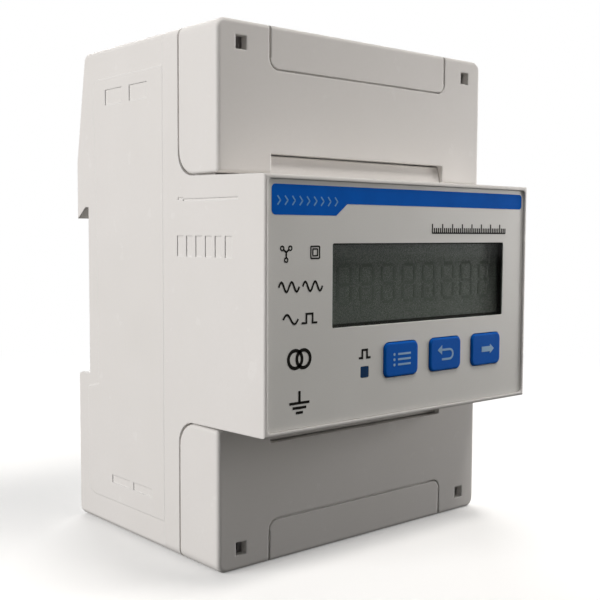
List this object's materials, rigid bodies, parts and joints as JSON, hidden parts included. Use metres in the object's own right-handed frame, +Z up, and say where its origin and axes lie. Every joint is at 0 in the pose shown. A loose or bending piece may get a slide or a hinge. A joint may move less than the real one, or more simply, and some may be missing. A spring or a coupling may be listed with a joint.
{
  "type": "smart electric meter",
  "caption": "Rail-mounted three-phase energy meter: stepped case with display block, push keys, clip-on terminal covers, clamp terminals and a sprung rail latch.",
  "frame": {"origin": "middle of the lower end, half way between the front block's face and the rear", "axes": "+Z up along the height, +Y to the rear, where the rail goes, +X to the right seen from the front"},
  "size_m": [0.072, 0.0654, 0.1],
  "materials": {
    "case_plastic": "fine moulded grain",
    "printed_film": "screen-printed film",
    "window": "clear",
    "lcd_glass": "unlit display",
    "black_plastic": "moulded",
    "diffuser": "frosted",
    "rubber": "matt",
    "board": "solder resist",
    "key_plastic": "satin",
    "lamp": "clear tinted",
    "core_steel": "stacked sheets",
    "winding": "taped winding",
    "capacitor": "sleeved can",
    "varistor": "dipped",
    "chip": "moulded",
    "terminal_plastic": "moulded",
    "contact_brass": "stamped",
    "latch_plastic": "moulded",
    "steel": "zinc plated",
    "cage_steel": "zinc plated",
    "screw_steel": "zinc plated"
  },
  "bodies": {
    "meter": {"rear_case": "case_plastic", "front_case": "case_plastic", "face_plate": "printed_film", "display_window": "window", "lcd_glass": "lcd_glass", "lcd_frame": "black_plastic", "backlight_guide": "diffuser", "lcd_contact_strips": "rubber", "display_board": "board", "main_board": "board", "key_switches": "black_plastic", "pulse_light_pipe": "key_plastic", "pulse_lamp": "lamp", "board_link": "black_plastic", "transformer_core": "core_steel", "transformer_coil": "winding", "smoothing_capacitors": "capacitor", "surge_varistors": "varistor", "metering_chip": "chip", "processor_chip": "chip", "optocouplers": "chip", "upper_terminal_block": "terminal_plastic", "lower_terminal_block": "terminal_plastic", "line_contacts": "contact_brass", "signal_contacts": "contact_brass", "latch_spring": "steel", "case_screws": "steel"},
    "upper_cover": {"upper_terminal_cover": "case_plastic"},
    "lower_cover": {"lower_terminal_cover": "case_plastic"},
    "menu_button": {"menu_key": "key_plastic", "menu_key_plunger": "black_plastic"},
    "back_button": {"back_key": "key_plastic", "back_key_plunger": "black_plastic"},
    "next_button": {"next_key": "key_plastic", "next_key_plunger": "black_plastic"},
    "latch": {"rail_latch": "latch_plastic"},
    "line_clamp_1": {"line_cage_1": "cage_steel"},
    "line_turn_1": {"line_screw_1": "screw_steel"},
    "line_clamp_2": {"line_cage_2": "cage_steel"},
    "line_turn_2": {"line_screw_2": "screw_steel"},
    "line_clamp_3": {"line_cage_3": "cage_steel"},
    "line_turn_3": {"line_screw_3": "screw_steel"},
    "line_clamp_4": {"line_cage_4": "cage_steel"},
    "line_turn_4": {"line_screw_4": "screw_steel"},
    "signal_clamp_1": {"signal_cage_1": "cage_steel"},
    "signal_turn_1": {"signal_screw_1": "screw_steel"},
    "signal_clamp_2": {"signal_cage_2": "cage_steel"},
    "signal_turn_2": {"signal_screw_2": "screw_steel"},
    "signal_clamp_3": {"signal_cage_3": "cage_steel"},
    "signal_turn_3": {"signal_screw_3": "screw_steel"},
    "signal_clamp_4": {"signal_cage_4": "cage_steel"},
    "signal_turn_4": {"signal_screw_4": "screw_steel"},
    "signal_clamp_5": {"signal_cage_5": "cage_steel"},
    "signal_turn_5": {"signal_screw_5": "screw_steel"},
    "signal_clamp_6": {"signal_cage_6": "cage_steel"},
    "signal_turn_6": {"signal_screw_6": "screw_steel"},
    "signal_clamp_7": {"signal_cage_7": "cage_steel"},
    "signal_turn_7": {"signal_screw_7": "screw_steel"},
    "signal_clamp_8": {"signal_cage_8": "cage_steel"},
    "signal_turn_8": {"signal_screw_8": "screw_steel"}
  },
  "joints": [
    {"name": "upper_cover_pull", "type": "slide", "parent": "meter", "child": "upper_cover", "axis": [0, -1, 0], "range_m": [0, 0.02]},
    {"name": "lower_cover_pull", "type": "slide", "parent": "meter", "child": "lower_cover", "axis": [0, -1, 0], "range_m": [0, 0.02]},
    {"name": "menu_key_press", "type": "slide", "parent": "meter", "child": "menu_button", "axis": [0, 1, 0], "range_m": [0, 0.0003], "stiffness_N_per_m": 1000, "springref_m": -0.0005},
    {"name": "back_key_press", "type": "slide", "parent": "meter", "child": "back_button", "axis": [0, 1, 0], "range_m": [0, 0.0003], "stiffness_N_per_m": 1000, "springref_m": -0.0005},
    {"name": "next_key_press", "type": "slide", "parent": "meter", "child": "next_button", "axis": [0, 1, 0], "range_m": [0, 0.0003], "stiffness_N_per_m": 1000, "springref_m": -0.0005},
    {"name": "latch_pull", "type": "slide", "parent": "meter", "child": "latch", "axis": [0, 0, -1], "range_m": [0, 0.004], "stiffness_N_per_m": 500, "springref_m": -0.004, "deforming": ["latch_spring"]},
    {"name": "line_screw_1_turn", "type": "hinge", "parent": "meter", "child": "line_turn_1", "pos_m": [-0.027, -0.01, 0.088], "axis": [0, 1, 0], "range_deg": [0, 2701]},
    {"name": "line_cage_1_lift", "type": "slide", "parent": "meter", "child": "line_clamp_1", "axis": [0, -1, 0], "range_m": [0, 0.006]},
    {"name": "line_screw_2_turn", "type": "hinge", "parent": "meter", "child": "line_turn_2", "pos_m": [-0.009, -0.01, 0.088], "axis": [0, 1, 0], "range_deg": [0, 2701]},
    {"name": "line_cage_2_lift", "type": "slide", "parent": "meter", "child": "line_clamp_2", "axis": [0, -1, 0], "range_m": [0, 0.006]},
    {"name": "line_screw_3_turn", "type": "hinge", "parent": "meter", "child": "line_turn_3", "pos_m": [0.009, -0.01, 0.088], "axis": [0, 1, 0], "range_deg": [0, 2701]},
    {"name": "line_cage_3_lift", "type": "slide", "parent": "meter", "child": "line_clamp_3", "axis": [0, -1, 0], "range_m": [0, 0.006]},
    {"name": "line_screw_4_turn", "type": "hinge", "parent": "meter", "child": "line_turn_4", "pos_m": [0.027, -0.01, 0.088], "axis": [0, 1, 0], "range_deg": [0, 2701]},
    {"name": "line_cage_4_lift", "type": "slide", "parent": "meter", "child": "line_clamp_4", "axis": [0, -1, 0], "range_m": [0, 0.006]},
    {"name": "signal_screw_1_turn", "type": "hinge", "parent": "meter", "child": "signal_turn_1", "pos_m": [-0.028, -0.01, 0.012], "axis": [0, 1, 0], "range_deg": [0, 2305]},
    {"name": "signal_cage_1_lift", "type": "slide", "parent": "meter", "child": "signal_clamp_1", "axis": [0, -1, 0], "range_m": [0, 0.0032]},
    {"name": "signal_screw_2_turn", "type": "hinge", "parent": "meter", "child": "signal_turn_2", "pos_m": [-0.02, -0.01, 0.012], "axis": [0, 1, 0], "range_deg": [0, 2305]},
    {"name": "signal_cage_2_lift", "type": "slide", "parent": "meter", "child": "signal_clamp_2", "axis": [0, -1, 0], "range_m": [0, 0.0032]},
    {"name": "signal_screw_3_turn", "type": "hinge", "parent": "meter", "child": "signal_turn_3", "pos_m": [-0.012, -0.01, 0.012], "axis": [0, 1, 0], "range_deg": [0, 2305]},
    {"name": "signal_cage_3_lift", "type": "slide", "parent": "meter", "child": "signal_clamp_3", "axis": [0, -1, 0], "range_m": [0, 0.0032]},
    {"name": "signal_screw_4_turn", "type": "hinge", "parent": "meter", "child": "signal_turn_4", "pos_m": [-0.004, -0.01, 0.012], "axis": [0, 1, 0], "range_deg": [0, 2305]},
    {"name": "signal_cage_4_lift", "type": "slide", "parent": "meter", "child": "signal_clamp_4", "axis": [0, -1, 0], "range_m": [0, 0.0032]},
    {"name": "signal_screw_5_turn", "type": "hinge", "parent": "meter", "child": "signal_turn_5", "pos_m": [0.004, -0.01, 0.012], "axis": [0, 1, 0], "range_deg": [0, 2305]},
    {"name": "signal_cage_5_lift", "type": "slide", "parent": "meter", "child": "signal_clamp_5", "axis": [0, -1, 0], "range_m": [0, 0.0032]},
    {"name": "signal_screw_6_turn", "type": "hinge", "parent": "meter", "child": "signal_turn_6", "pos_m": [0.012, -0.01, 0.012], "axis": [0, 1, 0], "range_deg": [0, 2305]},
    {"name": "signal_cage_6_lift", "type": "slide", "parent": "meter", "child": "signal_clamp_6", "axis": [0, -1, 0], "range_m": [0, 0.0032]},
    {"name": "signal_screw_7_turn", "type": "hinge", "parent": "meter", "child": "signal_turn_7", "pos_m": [0.02, -0.01, 0.012], "axis": [0, 1, 0], "range_deg": [0, 2305]},
    {"name": "signal_cage_7_lift", "type": "slide", "parent": "meter", "child": "signal_clamp_7", "axis": [0, -1, 0], "range_m": [0, 0.0032]},
    {"name": "signal_screw_8_turn", "type": "hinge", "parent": "meter", "child": "signal_turn_8", "pos_m": [0.028, -0.01, 0.012], "axis": [0, 1, 0], "range_deg": [0, 2305]},
    {"name": "signal_cage_8_lift", "type": "slide", "parent": "meter", "child": "signal_clamp_8", "axis": [0, -1, 0], "range_m": [0, 0.0032]}
  ],
  "couplings": [
    {"joint": "line_screw_1_turn", "follows": "line_cage_1_lift", "rad_per_m": 7854},
    {"joint": "line_screw_2_turn", "follows": "line_cage_2_lift", "rad_per_m": 7854},
    {"joint": "line_screw_3_turn", "follows": "line_cage_3_lift", "rad_per_m": 7854},
    {"joint": "line_screw_4_turn", "follows": "line_cage_4_lift", "rad_per_m": 7854},
    {"joint": "signal_screw_1_turn", "follows": "signal_cage_1_lift", "rad_per_m": 12566},
    {"joint": "signal_screw_2_turn", "follows": "signal_cage_2_lift", "rad_per_m": 12566},
    {"joint": "signal_screw_3_turn", "follows": "signal_cage_3_lift", "rad_per_m": 12566},
    {"joint": "signal_screw_4_turn", "follows": "signal_cage_4_lift", "rad_per_m": 12566},
    {"joint": "signal_screw_5_turn", "follows": "signal_cage_5_lift", "rad_per_m": 12566},
    {"joint": "signal_screw_6_turn", "follows": "signal_cage_6_lift", "rad_per_m": 12566},
    {"joint": "signal_screw_7_turn", "follows": "signal_cage_7_lift", "rad_per_m": 12566},
    {"joint": "signal_screw_8_turn", "follows": "signal_cage_8_lift", "rad_per_m": 12566}
  ]
}
